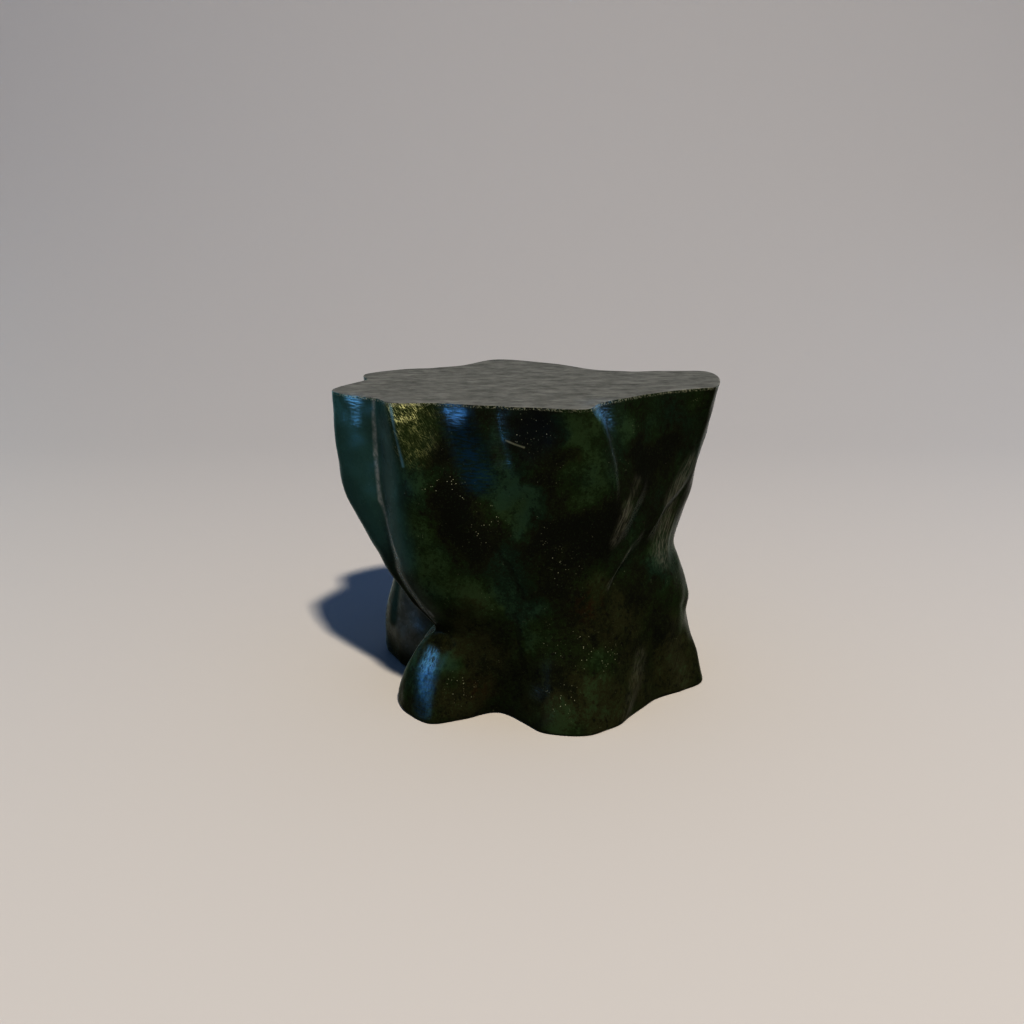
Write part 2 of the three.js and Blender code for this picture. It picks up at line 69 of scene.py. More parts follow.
# Each rib is a line up the side: height, x, y. They go counterclockwise as seen from above,
# from the toe at the right, round the back and the left side, and along the front.
RIBS = {
    "right_toe": [
        (0, 33, -8.3), (5.7, 31.7, -7), (8.8, 30.7, -6), (14, 29.8, -5), (15.7, 30.2, -5),
        (19, 29.5, -4.3), (22.8, 28.2, -4), (26.8, 26.8, -4), (32, 27.9, -3.8), (39, 29.7, -3.5),
        (47, 31.3, -4), (57, 32.4, -7.3),
    ],
    "right_edge": [
        (0, 31.2, 1.5), (8, 29.6, 1), (15.5, 29.4, 0.5), (19, 28.9, 0.3), (22.8, 27.9, 0),
        (26.8, 27.1, 0), (29, 27.6, 0), (32.4, 28.8, 0), (36, 30.1, 0.5), (41.7, 31.4, 2),
        (47, 33, 3.5), (52.6, 34.4, 5), (57, 35.5, 6),
    ],
    "back_right": [
        (0, 30.5, 12), (8, 29, 10.5), (20, 27.3, 8), (28, 26, 7), (40, 29, 8), (57, 34, 12.4),
    ],
    "back_right_root": [
        (0, 25, 20), (8, 24, 17.5), (20, 22, 14), (30, 21.8, 12), (44, 24.5, 12), (57, 27, 12.8),
    ],
    "back_right_hollow": [
        (0, 13, 17), (10, 12.5, 15), (24, 12, 13.5), (40, 13, 14), (57, 14, 13.6),
    ],
    "back_shoulder": [
        (0, 5, 25), (10, 4.5, 23), (24, 4.5, 20.5), (40, 5, 21), (57, 5, 23.2),
    ],
    "back_root": [
        (0, -5, 27), (8, -5, 25.5), (20, -5.5, 23.5), (30, -6, 24.3), (44, -6.8, 27),
        (57, -7, 29.8),
    ],
    "back_left_hollow": [
        (0, -14, 20.5), (10, -13.5, 18.5), (24, -12.5, 18), (40, -13.5, 20), (57, -15, 19.8),
    ],
    "back_left_root": [
        (0, -24, 18), (10, -23.5, 16.5), (20, -21.5, 14.5), (30, -22, 14), (44, -24, 14.5),
        (57, -26, 14.8),
    ],
    "left_root": [
        (0, -29.8, 9), (4.6, -29.7, 6.5), (9.4, -29.5, 6), (17.5, -27.3, 5), (24, -26.6, 5.5),
        (32, -28.3, 6.5), (46, -31, 8), (57, -32.2, 8.5),
    ],
    "left_root_front": [
        (0, -26.5, 0.5), (8, -27, 0.5), (14, -26, 0.5), (18, -25, 0), (24, -25.5, 0),
        (30, -28, 0.5), (38, -30.3, 1.5), (46, -31.3, 3), (57, -31.8, 4.5),
    ],
    "left_hollow": [
        (0, -22.3, -7), (8, -20, -7.5), (14, -18, -8.5), (18, -19.5, -8), (24, -23.5, -6),
        (30, -27.5, -4.5), (38, -31, -2.5), (46, -31.5, 0), (57, -31, 2),
    ],
    "left_shoulder": [
        (0, -25, -15.4), (2.5, -24.7, -15.8), (6, -23.5, -16), (10, -21.6, -16.8),
        (14.5, -18.7, -18.2), (16, -17.4, -19.6), (17.8, -19.4, -18.3), (20, -21.8, -17),
        (24, -25.5, -14.5), (29, -28.4, -14), (33, -30.8, -13), (39, -33.8, -12),
        (46.6, -34.8, -12), (57, -35.4, -11),
    ],
    "left_flute": [
        (0, -24.5, -18.6), (8, -22.7, -18.6), (13, -19.9, -19.2), (16, -17.3, -20.4),
        (20, -20.4, -19), (27.4, -24.7, -18.5), (38, -26.4, -19), (46, -26.6, -19),
        (57, -26.4, -19.6),
    ],
    "left_arris": [
        (0, -22.8, -21.8), (8, -21.5, -21), (13, -18.7, -20.9), (16.1, -16.6, -21), (19, -18, -22),
        (24.2, -20.4, -22.8), (33.4, -21.8, -24), (40, -21.5, -24.4), (45.7, -21.5, -23.8),
        (49.1, -22, -23.5), (53.2, -22.9, -23.1), (57, -23.7, -22.8),
    ],
    "left_foot": [
        (0, -18.4, -25.8), (7.7, -16.9, -24.3), (13, -15.1, -23.2), (15.8, -14, -23),
        (19, -14.4, -24), (24, -14.8, -25.5), (32, -15.3, -25.9), (40, -16, -25.6),
        (48, -17, -24.6), (57, -17.5, -23.9),
    ],
    "belly": [
        (0, -12.5, -24.1), (8, -10.6, -23.6), (15, -9.3, -24), (22, -9, -26.2), (30, -9.8, -26.9),
        (40, -10.5, -26.5), (48, -12.3, -25.6), (57, -14.2, -24.6),
    ],
    "front_notch": [
        (0, -6.4, -21.4), (5.8, -4, -23.3), (10.3, -2.3, -24.9), (16.4, -2.5, -25.9),
        (24, -3.9, -26.3), (32, -4.6, -27), (40, -5, -26.6), (49, -8.3, -25.6), (57, -11.3, -24.9),
    ],
    "front_toe": [
        (0, 2, -29.2), (6.5, 2.9, -28.4), (13, 4.2, -27.6), (24, 4.8, -27.3), (32, 3, -27.7),
        (41, 1.5, -28), (48, 1, -28.2), (57, 0.5, -28.4),
    ],
    "front_corner": [
        (0, 9.2, -30.2), (5, 9, -29.2), (12, 8.9, -27.6), (20, 9.2, -26.3), (29, 10.1, -26),
        (36, 11.7, -26.5), (43, 12.5, -27), (48.4, 12, -27.5), (53.4, 10.2, -28), (57, 7.9, -29.1),
    ],
    "right_flute": [
        (0, 13, -27.9), (10, 12.2, -26.4), (20, 11.5, -25.3), (28, 12, -24.8), (35.5, 14, -24),
        (44, 14.4, -24), (50.2, 13, -24.3), (57, 10.8, -23.4),
    ],
    "right_panel": [
        (0, 15.2, -25.7), (9, 14.7, -24.6), (17, 14.2, -24), (25.5, 12.7, -24), (29, 14.8, -22.3),
        (33, 17.6, -19.6), (39.6, 20.6, -16.5), (47, 22.2, -13.6), (57, 22.8, -12.2),
    ],
    "right_crease": [
        (0, 24, -15.4), (9.6, 20.9, -17), (17.2, 18.6, -19), (23.4, 14.9, -21.3), (26, 14.3, -21.2),
        (29, 17.2, -18), (32.6, 20.8, -14.3), (37.4, 25, -9.5), (42, 27.4, -7.5), (49, 28.3, -8.2),
        (57, 28.5, -9),
    ],
    "knee": [
        (0, 28.6, -12.4), (9, 26.5, -12.5), (16, 26.2, -13), (23.4, 24, -13), (29, 23.6, -10.5),
        (33, 25, -8.5), (39, 28, -6), (49, 30, -6.5), (57, 30.5, -8.1),
    ],
}

# Each fold is a ridge or groove over the side: its name, how round its crest is, and its path
# as x, y, z, how far it stands out (a groove is negative) and how wide it is.
FOLDS = [
    ("left arris", 1.3, [
        (-23.8, -22.9, 57, 0.7, 1.5), (-22.7, -23.3, 53.3, 1, 1.6), (-21.8, -23.5, 49.1, 0.9, 1.8),
        (-21.4, -23.6, 45.7, 0.6, 2.2), (-21.4, -23.7, 42, 0.3, 2.6), (-21.6, -23.4, 37, 0, 3),
    ]),
    ("left valley", 2, [
        (-27.4, -18.6, 57, -0.3, 1.8), (-27.3, -18.7, 51.6, -0.4, 1.9),
        (-27.2, -18.6, 45.9, -0.5, 2), (-26.6, -18.8, 38, -0.5, 2), (-25.2, -19, 30.4, -0.4, 1.8),
        (-23, -17.4, 22.4, 0, 1.8),
    ]),
    ("scratched facet", 2, [
        (-19, -24, 57, -0.1, 3), (-18.4, -24.3, 52, -0.3, 3), (-17, -25, 47, -0.2, 3.2),
        (-16, -25.6, 43, 0, 3.2),
    ]),
    ("first flute", 1.5, [
        (-15.4, -24.5, 57, -0.8, 2.2), (-14.7, -24.9, 53.4, -1, 2.5),
        (-13.6, -25.3, 49.6, -0.9, 2.9), (-12.2, -26, 45.6, -0.5, 3.1), (-9.5, -26.6, 41, 0, 3.2),
    ]),
    ("first flute lip", 2, [
        (-10.4, -25.6, 57, 0.3, 1.8), (-9.2, -25.8, 53, 0.5, 2), (-7, -26.2, 49, 0.4, 2.2),
        (-4, -26.8, 44, 0, 2.4),
    ]),
    ("second flute", 1.6, [
        (-6.3, -26.4, 57, -0.4, 1), (-6, -26.5, 53.1, -0.5, 1.1), (-5, -26.6, 49, -0.4, 1.4),
        (-3.4, -26.8, 44.9, 0, 1.6),
    ]),
    ("front hollow", 2, [
        (0.3, -28.3, 57, -0.5, 2.8), (0.2, -28.2, 53.9, -0.6, 3), (0.6, -28.2, 51, -0.3, 3),
        (0.8, -28, 47, 0, 3),
    ]),
    ("front corner", 1.6, [
        (7.9, -29.2, 57, 0.1, 1.2), (9, -28.7, 55.1, 0.15, 1.4), (10.2, -28.2, 52.9, 0.2, 1.6),
        (10.9, -28, 50.7, 0.2, 1.8), (11.6, -27.8, 48.4, 0.2, 2), (12.3, -27, 44, 0, 2.4),
    ]),
    ("right flute", 2, [
        (12.6, -21.4, 57, -0.1, 2.6), (13, -23, 53, -0.15, 2.6), (13.4, -24.4, 49.5, -0.2, 2.4),
        (14, -25, 45.5, -0.2, 2), (14.6, -24.3, 41, 0, 2),
    ]),
    ("right flute lip", 2, [
        (16.6, -18.6, 57, 0.1, 2.2), (16, -20.5, 53, 0.15, 2.2), (15.8, -22.4, 49, 0.15, 2.2),
        (16.2, -23, 44, 0, 2.4),
    ]),
    ("panel groove", 2, [
        (19.6, -15, 57, -0.15, 1.6), (19.8, -15.8, 52, -0.2, 1.8), (19.4, -17, 47, -0.1, 2),
        (18.8, -18.4, 43, 0, 2),
    ]),
    ("first fold", 1.5, [
        (19.6, -17.6, 44, 0, 1.6), (18.4, -19.3, 41.9, 0.4, 1.6), (17.1, -21, 40, 0.6, 1.6),
        (15.6, -22.6, 37.1, 0.7, 1.6), (14, -24.1, 34.4, 0.6, 1.6), (12.4, -25.2, 32, 0, 1.6),
    ]),
    ("first fold groove", 1.5, [
        (21.2, -15.9, 42, 0, 1.8), (20, -17.2, 39.6, -0.4, 1.9), (18.6, -18.9, 37.1, -0.6, 1.9),
        (16.9, -20.6, 34.4, -0.6, 1.8), (15.7, -21.9, 31.6, -0.3, 1.7), (14.6, -22.8, 29, 0, 1.6),
    ]),
    ("waist crease", 1.2, [
        (11.9, -24.4, 23, 0, 1.1), (13.3, -23, 24.7, -0.3, 1.1), (15, -20.4, 26.1, -0.4, 1.2),
        (16.2, -18.9, 27.1, -0.3, 1.3), (16.9, -18.6, 29.2, -0.2, 1.4),
        (17.3, -19.3, 32, -0.1, 1.4), (17.8, -19.4, 34.5, 0, 1.4),
    ]),
    ("second fold", 1.5, [
        (29.2, -5.6, 44, 0, 1.6), (28.4, -6.2, 41.2, 0.5, 1.6), (26.8, -7.4, 39, 0.7, 1.6),
        (24.7, -10.2, 37.4, 0.8, 1.6), (22.7, -12.7, 35.6, 0.8, 1.6), (20.6, -14.9, 32.6, 0.6, 1.6),
        (19.4, -15.8, 29.4, 0, 1.6),
    ]),
    ("second fold groove", 1.5, [
        (28, -6, 39.6, 0, 1.8), (26.6, -7, 36.8, -0.4, 1.9), (24.4, -9.7, 34.4, -0.6, 1.9),
        (22.7, -11.7, 31.5, -0.4, 1.9), (21.8, -13.2, 28, -0.2, 1.8), (21.2, -14.4, 25, 0, 1.8),
    ]),
    ("waist fold", 1.6, [
        (28.6, -4.6, 38.4, 0, 1.5), (27.2, -6.2, 36, 0.4, 1.5), (25.6, -8, 32.3, 0.6, 1.5),
        (24.6, -9.5, 28.1, 0.4, 1.5), (24.7, -11.1, 24.7, 0, 1.5),
    ]),
    ("knee groove", 1.5, [
        (29.6, -5, 15.6, -0.5, 1.5), (28.7, -9.3, 16, -0.5, 1.6), (25.9, -13.1, 17.1, -0.3, 1.8),
        (22.8, -15.8, 17.4, -0.2, 1.8), (20.6, -17.4, 17.1, 0, 1.8),
    ]),
    ("front toe ridge", 1.8, [
        (15, -26.3, 0, 0.4, 1.8), (17.3, -22.9, 4.6, 0.6, 1.8), (18.9, -19.9, 7.3, 0.5, 1.9),
        (19.6, -18.5, 9.6, 0.3, 2), (19.3, -18.5, 13.6, 0.1, 2), (18.8, -19, 17, 0, 2),
    ]),
    ("hollow between the toes", 2, [
        (22.4, -17, 0, -0.2, 2.2), (22.6, -16.4, 3, -0.4, 2.4), (22.5, -15.9, 6.1, -0.4, 2.6),
        (21.8, -16.3, 11.3, -0.2, 2.6), (21, -17, 15, 0, 2.4),
    ]),
    ("front toe corner", 2, [
        (1.2, -28.6, 0, 0.2, 2), (1.7, -27.8, 5, 0.3, 2), (2.2, -27.2, 10, 0.2, 2),
        (2.6, -27, 15, 0, 2),
    ]),
    ("crease under the belly", 1.3, [
        (-19.6, -17.4, 16.4, 0, 1), (-17.7, -18.8, 15.4, -0.2, 0.9),
        (-16.2, -21.2, 15.9, -0.25, 0.8), (-13.9, -22.2, 15.9, -0.12, 0.8),
        (-11.1, -23.6, 16.3, 0, 1),
    ]),
    ("right side fold", 1.6, [
        (33.5, 9, 50, 0, 2), (31.5, 7, 42, 0.5, 2), (29.5, 4.5, 34, 0.7, 2), (28, 2.5, 28, 0.4, 2),
        (27.5, 1, 24, 0, 2),
    ]),
    ("right side groove", 1.6, [
        (33.5, 12, 46, 0, 2), (30.5, 9.5, 38, -0.7, 2), (28.5, 7.2, 31, -0.8, 2),
        (27.2, 5, 26, -0.4, 2), (27, 3, 22, 0, 2),
    ]),
    ("back right flute", 2, [
        (20.5, 13, 57, -0.8, 2.4), (19.5, 12.5, 50, -1, 2.6), (18, 12.5, 42, -0.7, 2.8),
        (16.5, 13, 34, 0, 3),
    ]),
    ("back flute", 2, [
        (-1, 25.2, 57, -0.6, 2), (-0.8, 23.5, 50, -0.8, 2.2), (-0.6, 22, 42, -0.7, 2.4),
        (-0.5, 21.5, 34, 0, 2.6),
    ]),
    ("back toe groove", 2, [
        (-0.5, 26, 0, -0.8, 2.4), (-0.5, 24, 8, -0.9, 2.4), (-0.8, 22, 16, -0.6, 2.4),
        (-1, 21.6, 24, 0, 2.4),
    ]),
    ("back left flute", 2, [
        (-20.5, 16.5, 57, -0.7, 2), (-19.5, 16, 50, -0.8, 2.2), (-18, 15.5, 42, -0.5, 2.4),
        (-17, 15.5, 34, 0, 2.6),
    ]),
    ("back left fold", 1.6, [
        (-24, 15, 40, 0, 1.8), (-22, 14.5, 34, 0.6, 1.8), (-19.5, 15, 28, 0.7, 1.8),
        (-16.5, 16, 23, 0.4, 1.8), (-14, 17.5, 19, 0, 1.8),
    ]),
    ("back left groove", 1.6, [
        (-21, 14.5, 30, 0, 1.8), (-19, 14.8, 25.5, -0.7, 1.8), (-16, 16.2, 20.5, -0.7, 1.8),
        (-13.5, 17.8, 16, 0, 1.8),
    ]),
]

# Cloudy patches in the stone, and two teal patches of painted sky reflection beside the left foot:
# x, y, z, radius, how much lighter or darker they are, and their hue from teal (-1) through green
# to olive (1).
CLOUDS = [
    (-5, -26.1, 43.9, 4, 0.5, -0.7), (-2.2, -26.9, 40.3, 4, 0.5, -0.5),
    (-1.3, -27.1, 37.4, 3, 0.3, -0.2), (-18.4, -24.3, 44.6, 3.2, 0.35, 0),
    (-19.2, -24.4, 37.4, 3.5, 0.3, 0.2), (-18.7, -24.4, 30.4, 4.5, 0.35, 0.1),
    (-16.1, -25.1, 25.3, 5, 0.35, 0.2), (-9.6, -26.7, 25.9, 4, 0.3, 0.3),
    (-7.6, -26.2, 22, 3.5, 0.2, 0.3), (7.5, -28.6, 53.2, 4.6, 0.6, 0.3),
    (8.9, -27.8, 44.8, 5, 0.6, 0.3), (15.3, -21, 51.7, 3, 0.4, -0.1),
    (21.8, -13.2, 51.6, 3.5, 0.3, -0.1), (27.6, -8.9, 53.3, 3, 0.2, 0),
    (11, -25.1, 27.4, 3.2, 0.4, 0.7), (22.4, -13.3, 25.6, 4, 0.5, -0.5),
    (-3.9, -26.1, 25.6, 3, 0.3, -0.7), (-5, -26.6, 31.1, 2.5, 0.25, -0.7),
    (-1.8, -26.1, 21.1, 3.2, 0.35, -0.5), (-1.1, -25.9, 16.4, 2.2, 0.25, -0.6),
    (10.4, -26.4, 12.9, 4.5, 0.4, -0.2), (12.4, -26.6, 7, 3.5, 0.4, 0.3),
    (6.1, -29.2, 3, 5, 0.45, 0), (13.1, -27.7, 1.3, 4, 0.4, 0.2),
    (25.8, -13, 7.9, 4.5, 0.3, 0.8), (28.7, -11.2, 4, 3, 0.25, 0.6), (19, -20.4, 4.4, 3, 0.2, 0.6),
    (-13, -23.8, 4.1, 4, 0.15, 0.8), (-9.5, -23.1, 5.7, 4, 0.1, 1), (-14.7, -23, 11.4, 4, 0.2, 0.4),
    # The last two patches on the next line, teal beside the left foot, are painted sky reflection.
    (-11.1, -22.8, 15, 4, 0.2, 0.4), (-14.5, -23.8, 10.7, 3, 0.4, -1), (-21.5, -21, 6, 3.5, 0.4, -1),
    (-24, -21, 46, 5, 0.4, -0.9), (-22.5, -21, 33, 4, 0.3, -0.7),
    (-18.2, -23.9, 48.9, 3, -0.45, 0), (-15.5, -25.3, 39, 3.6, -0.45, 0),
    (-10.8, -26.9, 35.6, 5, -0.5, 0.3), (-13.2, -26, 41.8, 3.6, -0.4, 0.2),
    (-0.9, -27.2, 33.5, 3, -0.3, 0), (-0.3, -27.3, 53.3, 4.2, -0.5, -0.7),
    (5, -28.2, 49, 2.2, -0.45, 0.6), (2, -27.9, 44.6, 3.5, -0.5, 0), (4, -27.6, 36.7, 5, -0.6, 0),
    (8.9, -26.9, 34.7, 4.5, -0.5, 0), (12.3, -26.2, 38, 4, -0.5, 0), (18.8, -17.8, 44.4, 4.5, -0.5, 0),
    (17.8, -18.3, 48, 3, -0.3, 0), (4.1, -27.1, 26, 4.5, -0.5, 0), (7.6, -26.5, 21.5, 3, -0.3, 0.3),
    (4.4, -27.4, 8.4, 4, -0.45, 0), (18.2, -18.5, 22, 4, -0.4, 0), (10.6, -25.9, 15.6, 1.2, -0.5, 0),
    (23.1, -15.2, 13.9, 3, -0.35, 0.3), (23.6, -12.5, 47, 4.4, -0.5, 0), (12.4, -27, 5.4, 1.1, -0.7, 0),
    (-5.8, -25.7, 52, 2.5, 0.2, -0.8), (1.5, -27, 14.9, 4, 0.2, -0.2),
    (14, -24, 19, 7, 0.05, 0.5), (-9, -25, 17, 7, 0.05, 0.4),
]

# Where the surface differs from the rest: the name of each mask, and its strokes as strength,
# radius and a path through the stone. Flutes, foot, folds, panel and facet are named after the
# forms they cover, though the panel mask also reaches a streak on the root behind the left foot
# and a spot beside the foot. The other masks mark, in order, the corner where the painted glints
# on the facet are brightest, a painted dark blue sheen under the front edge, a painted reflection
# of the sky in the first flute and low on the left foot, a painted reflection of the floor beside
# the valley, the stone with the least polish, rust stains, a painted reflection of the lit floor
# on the root behind the left foot, and where specks gather.
MASKS = {
    "flutes": [
        (1, 2.9, [(-14, -24, 57), (-13.4, -24.4, 55)]),
        (1.2, 3.2, [(-30.8, -15.8, 57)]),
        (0.5, 1.7, [(-30.8, -15.8, 56), (-30.4, -15.9, 52.5)]),
        (0.6, 7, [(11.4, -23.6, 57)]),
        (0.3, 2.8, [(11.8, -25, 55), (12.8, -26, 47.5)]),
        (0.35, 2.4, [(-5.8, -25.6, 55), (-5.5, -26, 48)]),
        (0.3, 2.4, [(0.2, -26.4, 6.6)]),
    ],
    "foot": [
        (1, 2.5, [(-18.3, -21.8, 11.6), (-18.8, -22, 9.8)]),
        (0.25, 3.2, [(-19, -22.4, 8.4), (-20.1, -23.8, 2)]),
    ],
    "folds": [
        (0.4, 1.6, [(17.5, -19.8, 43), (15.4, -22.8, 39)]),
        (0.9, 2.2, [(15.6, -22.6, 39), (13.8, -24.2, 33.5)]),
        (1, 1.2, [(16.6, -19.2, 30.6), (12.8, -23.5, 25.3)]),
        (1, 3, [(28.9, -5.6, 43), (24.7, -10.2, 36)]),
        (1, 4.4, [(25.4, -9.2, 37), (23.5, -11, 27)]),
        (0.5, 2.8, [(19.2, -18.8, 10), (16.3, -24.5, 0)]),
        (0.15, 4, [(26, -12.5, 13), (28, -12, 2)]),
    ],
    "panel": [
        (1, 13, [(-33, -14, 60), (-30, -14, 34)]),
        (1, 4.6, [(-25.5, -20.5, 58), (-22, -21.5, 30)]),
        (0.7, 2.4, [(-26.8, 1.7, 17), (-27.4, 1.7, 9.5)]),
        (0.25, 2.6, [(-15, -23.3, 10.8)]),
    ],
    "facet": [
        (1, 5.4, [(-22, -23.4, 56), (-20.4, -23.8, 50)]),
        (0.5, 4.8, [(-17.4, -24, 56), (-18.8, -24, 53)]),
    ],
    "glint_corner": [(1, 5, [(-22, -23.4, 57)])],
    "dark_blue_sheen": [(1, 6, [(0, -27.6, 53.5)])],
    "sky_reflection": [
        (1, 4.2, [(-13.6, -24.5, 56), (-9.4, -25.6, 45)]),
        (0.8, 3.2, [(-19, -22.8, 7.5), (-20.2, -24.2, 2.5)]),
    ],
    "valley_sheen": [(1, 4, [(-25.3, -20.6, 52), (-25, -20.6, 38), (-22.6, -20.8, 28), (-18.5, -22, 20)])],
    "still": [
        (1, 7, [(-17, -25, 45), (-14, -26, 34)]),
        (1, 5, [(-11.6, -25, 51), (-9.5, -25.6, 45)]),
        (1, 5, [(-15.6, -23, 14.6), (-18, -22.6, 14)]),
    ],
    "rust": [(0.7, 5, [(9.3, -25.8, 22.6)]), (0.6, 4, [(-9.5, -23.1, 5.7)])],
    "root_reflection": [
        (1, 10, [(-25.5, -1, 20), (-25.5, -2, 3)]),
        (0.5, 12, [(-27, 6, 14), (-26, 8, 4)]),
        (-1.3, 2.4, [(-26.8, 1.7, 18), (-27.4, 1.7, 9)]),
    ],
    "dust": [
        (1, 5, [(-14.4, -25.4, 43.6)]),
        (1, 5, [(-7.3, -26.8, 37)]),
        (1, 5, [(4.5, -27.2, 30)]),
        (1, 5, [(3.8, -26.6, 16.6), (12.7, -25.1, 13)]),
        (1, 5, [(-12.7, -23.5, 6.3)]),
        (1, 5, [(5, -28.4, 6.5)]),
        (1, 5, [(-0.3, -27.3, 53)]),
    ],
}


def smooth_line(knots, places):
    """x and y at each place of a smooth line through knots of place, x, y. Between two knots it
    is a cubic with the knots' values and slopes, and a knot's slope is the mean of the slopes
    on its two sides, weighted towards the nearer knot."""
    knots = np.array(knots, float)
    steps = np.diff(knots[:, 0])
    chords = np.diff(knots[:, 1:], axis=0) / steps[:, None]
    inner = chords[:-1] * steps[1:, None] + chords[1:] * steps[:-1, None]
    inner = inner / (steps[:-1] + steps[1:])[:, None]
    slopes = np.vstack([chords[:1], inner, chords[-1:]])
    k = np.clip(np.searchsorted(knots[:, 0], places, side="left") - 1, 0, len(steps) - 1)
    t = ((places - knots[k, 0]) / steps[k])[:, None]
    values = knots[k, 1:] * (1 + 2 * t) * (1 - t) ** 2 + knots[k + 1, 1:] * t * t * (3 - 2 * t)
    bends = slopes[k] * t * (1 - t) ** 2 - slopes[k + 1] * t * t * (1 - t)
    return values + bends * steps[k][:, None]


def ribbed_side(heights, columns_per_rib):
    """Rows of points round the side. In each row a closed centripetal Catmull-Rom curve goes
    through the ribs: a cubic from rib to rib whose slopes allow for the square roots of the
    three nearest chords."""
    p1 = np.stack([smooth_line(knots, heights) for knots in RIBS.values()], axis=1)
    p0, p2, p3 = (np.roll(p1, shift, axis=1) for shift in (1, -1, -2))
    step0, step1, step2 = (
        np.sqrt(np.linalg.norm(b - a, axis=-1, keepdims=True))
        for a, b in ((p0, p1), (p1, p2), (p2, p3))
    )
    chord = (p2 - p1) / step1
    start = step1 * ((p1 - p0) / step0 - (p2 - p0) / (step0 + step1) + chord)
    end = step1 * (chord - (p3 - p1) / (step1 + step2) + (p3 - p2) / step2)
    t = (np.arange(columns_per_rib) / columns_per_rib)[None, None, :, None]
    a, b, start, end = (part[:, :, None, :] for part in (p1, p2, start, end))
    rows = a * (1 + 2 * t) * (1 - t) ** 2 + b * t * t * (3 - 2 * t)
    rows = rows + start * t * (1 - t) ** 2 - end * t * t * (1 - t)
    rows = rows.reshape(len(heights), -1, 2)
    level = np.broadcast_to(heights[:, None, None], rows.shape[:2] + (1,))
    return np.concatenate([rows, level], axis=-1)


def fold_amount(points, crest, path):
    """How far one fold moves each point: its depth at the nearest place on its path, times
    exp(-(distance / width) ** crest)."""
    nearest = np.full(points.shape[:-1], np.inf)
    amount = np.zeros(points.shape[:-1])
    path = np.array(path, float)
    for start, end in zip(path[:-1], path[1:]):
        along = end[:3] - start[:3]
        share = np.clip((points - start[:3]) @ along / (along @ along), 0, 1)
        distance = np.linalg.norm(points - start[:3] - share[..., None] * along, axis=-1)
        depth = start[3] + share * (end[3] - start[3])
        width = start[4] + share * (end[4] - start[4])
        here = depth * np.exp(-((distance / width) ** crest))
        amount = np.where(distance < nearest, here, amount)
        nearest = np.minimum(distance, nearest)
    return amount


def hand_ground(points):
    """The slight unevenness that hand grinding leaves: five slow waves across the side, each a
    sine along its own direction, 0.02 to 0.05 mm high."""
    waves = [
        (0.9, 0.3, 0.35, 0.05), (-0.5, 0.8, 0.5, 0.04), (0.2, -1.1, 0.8, 0.03),
        (1.4, 0.6, -0.5, 0.025), (-0.8, -0.4, 1.3, 0.02),
    ]
    return sum(
        high * np.sin(points @ np.array([a, b, c]) + 7 * k)
        for k, (a, b, c, high) in enumerate(waves)
    )


def rounding(radius, distance):
    """How far a quarter-round edge pulls in, at a distance from the face."""
    into = np.clip(1 - distance / radius, 0, 1)
    return radius * (1 - np.sqrt(1 - into * into))


def block_side(heights, columns_per_rib):
    """The finished side: the ribbed side, moved along its level normal by the folds, the
    grinding, which fades out over the 2 mm next to each end, and the two rounded edges. The
    middle is moved to the origin."""
    points = ribbed_side(heights, columns_per_rib)
    across = np.roll(points, -1, axis=1) - np.roll(points, 1, axis=1)
    outward = np.stack([across[..., 1], -across[..., 0]], axis=-1)
    outward /= np.linalg.norm(outward, axis=-1, keepdims=True)
    amount = sum(fold_amount(points, crest, path) for _, crest, path in FOLDS)
    inside = np.clip(np.minimum(points[..., 2], HEIGHT - points[..., 2]) / 2, 0, 1)
    amount = amount + inside * hand_ground(points)
    amount -= rounding(FOOT_ROUNDING, points[..., 2])
    amount -= rounding(RIM_ROUNDING, HEIGHT - points[..., 2])
    points[..., :2] += outward * amount[..., None] - MIDDLE
    return points


def stroke(points, radius, path):
    """1 on a path of straight lines through the stone, falling smoothly to 0 at a radius."""
    distance = np.linalg.norm(points - path[0], axis=-1)
    for first, second in zip(path[:-1], path[1:]):
        line = np.subtract(second, first)
        share = np.clip((points - first) @ line / (line @ line), 0, 1)
        away = np.linalg.norm(points - first - share[:, None] * line, axis=-1)
        distance = np.minimum(distance, away)
    share = np.clip((radius - distance) / (0.85 * radius), 0, 1)
    return share * share * (3 - 2 * share)


def stirred(points):
    """The points moved about by a millimetre or two, by sines along seven directions, which
    breaks up the round edges of the clouds."""
    waves = [
        (0.5, 0.2, 0.4, 0.5), (-0.4, 0.5, 0.6, 0.5), (0.8, -0.5, 0.3, 0.45), (1.1, 0.6, -0.9, 0.4),
        (-1.3, 0.9, 1.2, 0.35), (2, -0.8, 1.6, 0.3), (-1.6, 1.9, -2.2, 0.25),
    ]
    for k, (a, b, c, far) in enumerate(waves):
        phase = points @ np.array([a, b, c])
        step = np.stack([np.sin(phase + k), np.sin(phase + 2 * k), np.sin(phase - k)], axis=-1)
        points = points + far * step
    return points


